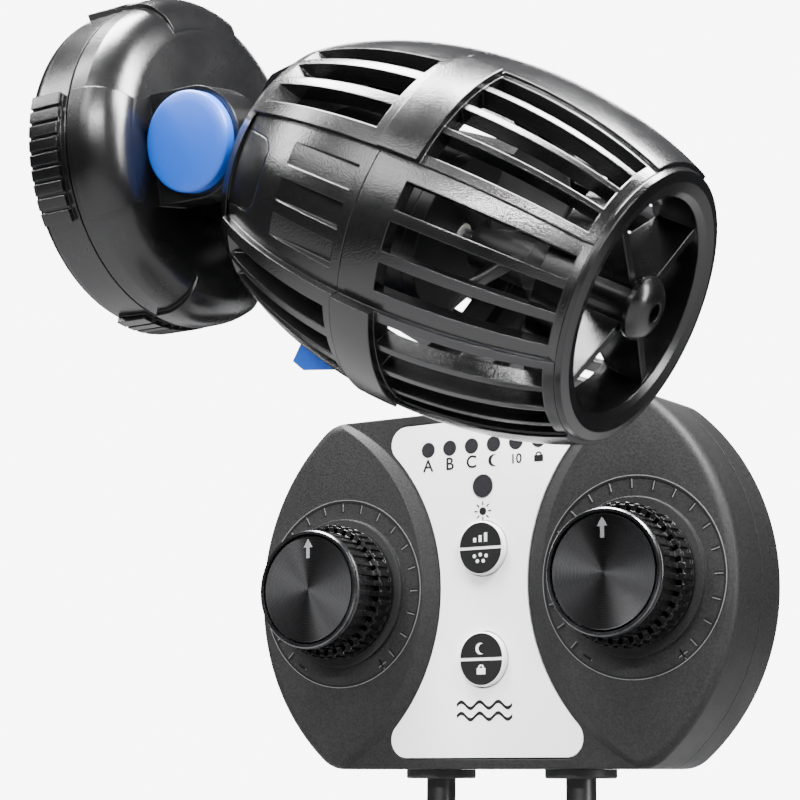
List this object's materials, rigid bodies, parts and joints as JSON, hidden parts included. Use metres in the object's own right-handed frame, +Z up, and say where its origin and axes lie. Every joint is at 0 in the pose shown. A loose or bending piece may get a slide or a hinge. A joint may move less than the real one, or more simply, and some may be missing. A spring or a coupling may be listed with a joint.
{
  "type": "wave maker pump",
  "caption": "Magnet-mounted barrel circulation pump with a slotted cage and tilting fork, and a wired controller with dials and keys.",
  "frame": {"origin": "centre of the glass face between the two magnet halves", "axes": "+X into the tank along the mount's axis, +Z up, -Y the side that the controller's dials face"},
  "size_m": [0.1563, 0.1527, 0.236],
  "materials": {
    "black_plastic": "fine-grained black moulded plastic",
    "charcoal_plastic": "fine-grained charcoal moulded plastic",
    "blue_plastic": "blue satin moulded plastic",
    "plate": "silver-white printed plate",
    "button_white": "white button cap",
    "rubber": "black rubber",
    "lead_jacket": "black cable jacket",
    "magnet": "nickel-plated magnet",
    "steel": "stainless steel",
    "ceramic": "white ceramic bush",
    "copper": "enamelled copper wire",
    "propeller_plastic": "dark grey moulded plastic",
    "board": "green circuit board",
    "component": "black component casing",
    "lens": "smoked lens",
    "knob_plastic": "black fluted knob",
    "spun_black": "black spun metal disc"
  },
  "bodies": {
    "inner_mount": {"inner_holder": "black_plastic", "inner_magnet": "magnet", "inner_pad": "rubber", "pivot_pin": "steel", "pivot_cap_front": "blue_plastic", "pivot_cap_rear": "blue_plastic", "friction_washers": "rubber", "front_shell": "charcoal_plastic", "back_shell": "charcoal_plastic", "faceplate": "plate", "circuit_board": "board", "light_sensor_lens": "lens", "led_lenses": "lens", "button_switches": "component", "left_potentiometer": "component", "right_potentiometer": "component", "power_gland": "rubber", "output_gland": "rubber", "case_screws": "steel", "power_lead": "lead_jacket", "output_lead": "lead_jacket", "power_socket": "lead_jacket", "pump_connector": "lead_jacket"},
    "outer_mount": {"outer_holder": "black_plastic", "outer_magnet": "magnet", "outer_pad": "rubber"},
    "pump_body": {"rear_cap": "black_plastic", "rear_shell": "black_plastic", "motor_housing": "black_plastic", "motor_end_cap": "black_plastic", "housing_seal": "rubber", "stator_core": "steel", "stator_windings": "copper", "rear_bearing": "ceramic", "middle_bearing": "ceramic", "pump_lead_gland": "black_plastic", "latch_spring": "magnet"},
    "rotor": {"shaft": "steel", "rotor_magnet": "magnet", "propeller": "propeller_plastic"},
    "outlet_cage": {"front_cage": "black_plastic", "nozzle": "black_plastic", "hub_cap": "black_plastic", "front_bearing": "ceramic"},
    "latch": {"release_latch": "blue_plastic"},
    "left_dial": {"left_knob": "knob_plastic", "left_knob_face": "spun_black"},
    "right_dial": {"right_knob": "knob_plastic", "right_knob_face": "spun_black"},
    "mode_key": {"mode_button": "button_white"},
    "night_key": {"night_button": "button_white"}
  },
  "joints": [
    {"name": "pump_tilt", "type": "hinge", "parent": "inner_mount", "child": "pump_body", "pos_m": [0.0218, 0, 0], "axis": [0, 0.9836, 0.1805], "range_deg": [-68, 14]},
    {"name": "propeller_spin", "type": "hinge", "parent": "pump_body", "child": "rotor", "pos_m": [0.0218, 0, 0], "axis": [0.8886, 0.0828, -0.4511], "continuous": true},
    {"name": "outer_mount_pull", "type": "slide", "parent": "inner_mount", "child": "outer_mount", "axis": [-1, 0, 0], "range_m": [0, 0.06]},
    {"name": "cage_pull", "type": "slide", "parent": "pump_body", "child": "outlet_cage", "axis": [0.8886, 0.0828, -0.4511], "range_m": [0, 0.05]},
    {"name": "latch_slide", "type": "slide", "parent": "pump_body", "child": "latch", "axis": [0.8886, 0.0828, -0.4511], "range_m": [0, 0.0012], "stiffness_N_per_m": 400, "deforming": ["latch_spring"]},
    {"name": "left_dial_turn", "type": "hinge", "parent": "inner_mount", "child": "left_dial", "pos_m": [-0.0094, 0.0775, -0.0872], "axis": [0, 1, 0], "range_deg": [-140, 140]},
    {"name": "right_dial_turn", "type": "hinge", "parent": "inner_mount", "child": "right_dial", "pos_m": [0.0698, 0.0775, -0.0872], "axis": [0, 1, 0], "range_deg": [-140, 140]},
    {"name": "mode_press", "type": "slide", "parent": "inner_mount", "child": "mode_key", "axis": [0, 1, 0], "range_m": [0, 0.0005], "stiffness_N_per_m": 900},
    {"name": "night_press", "type": "slide", "parent": "inner_mount", "child": "night_key", "axis": [0, 1, 0], "range_m": [0, 0.0005], "stiffness_N_per_m": 900}
  ]
}
